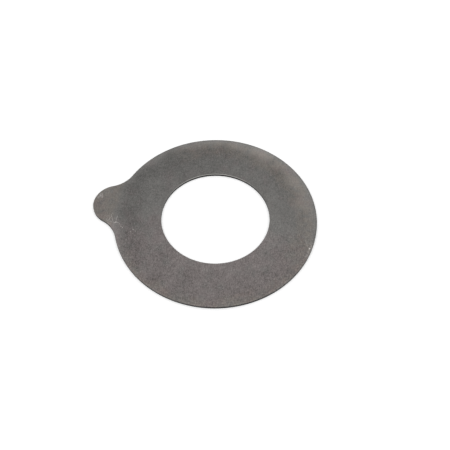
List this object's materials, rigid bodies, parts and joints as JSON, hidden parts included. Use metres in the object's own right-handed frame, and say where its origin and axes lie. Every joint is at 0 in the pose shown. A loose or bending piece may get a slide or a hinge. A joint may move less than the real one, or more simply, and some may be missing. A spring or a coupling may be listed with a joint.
{
  "type": "thrust washer",
  "caption": "Flat round sheet-steel thrust washer with a plain bore and a rounded anti-rotation tab on its rim.",
  "frame": {"origin": "centre of the whole outline on the lower face; the bore's axis stands 5.575 mm from it towards +X", "axes": "+Z out of the upper face along the bore's axis; -X from the bore's axis towards the tab"},
  "size_m": [0.1062, 0.095, 0.0012],
  "materials": {
    "steel": "satin"
  },
  "bodies": {
    "root": {"washer": "steel"}
  },
  "joints": []
}
